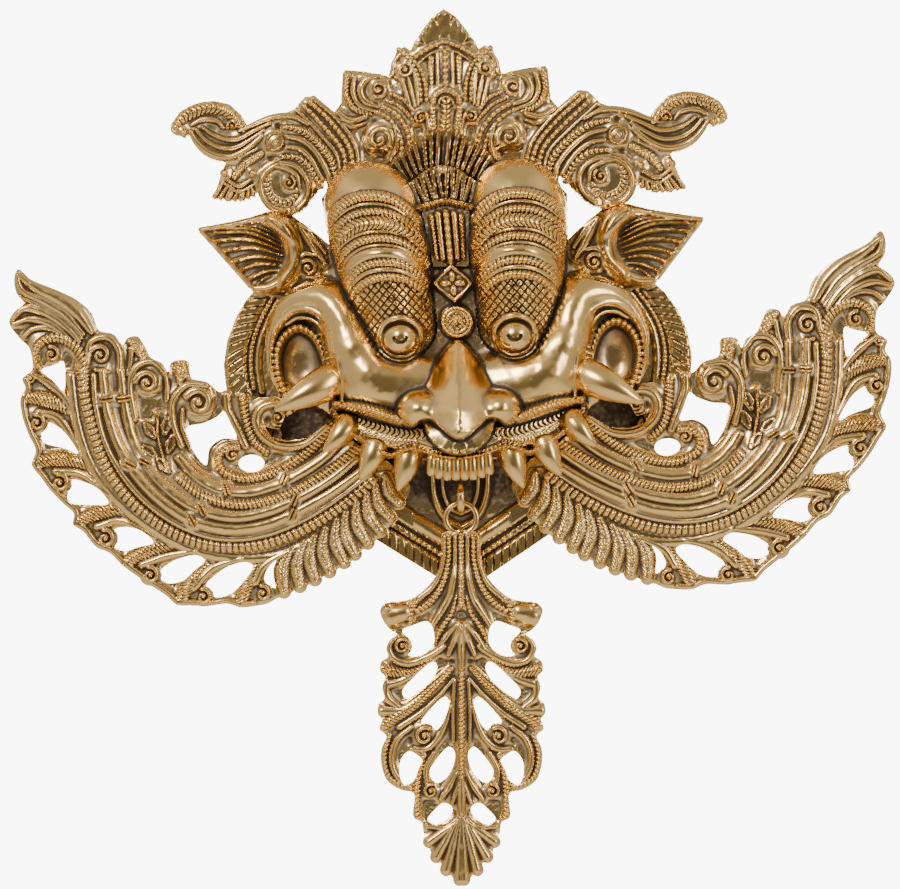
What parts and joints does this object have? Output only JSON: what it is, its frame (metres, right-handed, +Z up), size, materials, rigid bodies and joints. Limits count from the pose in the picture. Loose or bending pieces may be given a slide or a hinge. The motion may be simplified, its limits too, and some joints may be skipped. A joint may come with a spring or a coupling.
{
  "type": "wall mask",
  "caption": "Cast brass kirtimukha wall mask: a crowned beast's face on a shield, two openwork wings and a pierced pendant hanging from its mouth.",
  "frame": {"origin": "the hanging point: on the mask's flat back, on the centre line, 90 mm above the middle of the face", "axes": "+Z up the wall, +Y into the wall, so the mask looks along -Y, and +X to the viewer's right"},
  "size_m": [0.4427, 0.0702, 0.4393],
  "materials": {
    "brass": "polished high points, dark patina in the carving"
  },
  "bodies": {
    "root": {"mask": "brass", "wing_left": "brass", "wing_right": "brass", "hook": "brass", "pendant": "brass"}
  },
  "joints": []
}
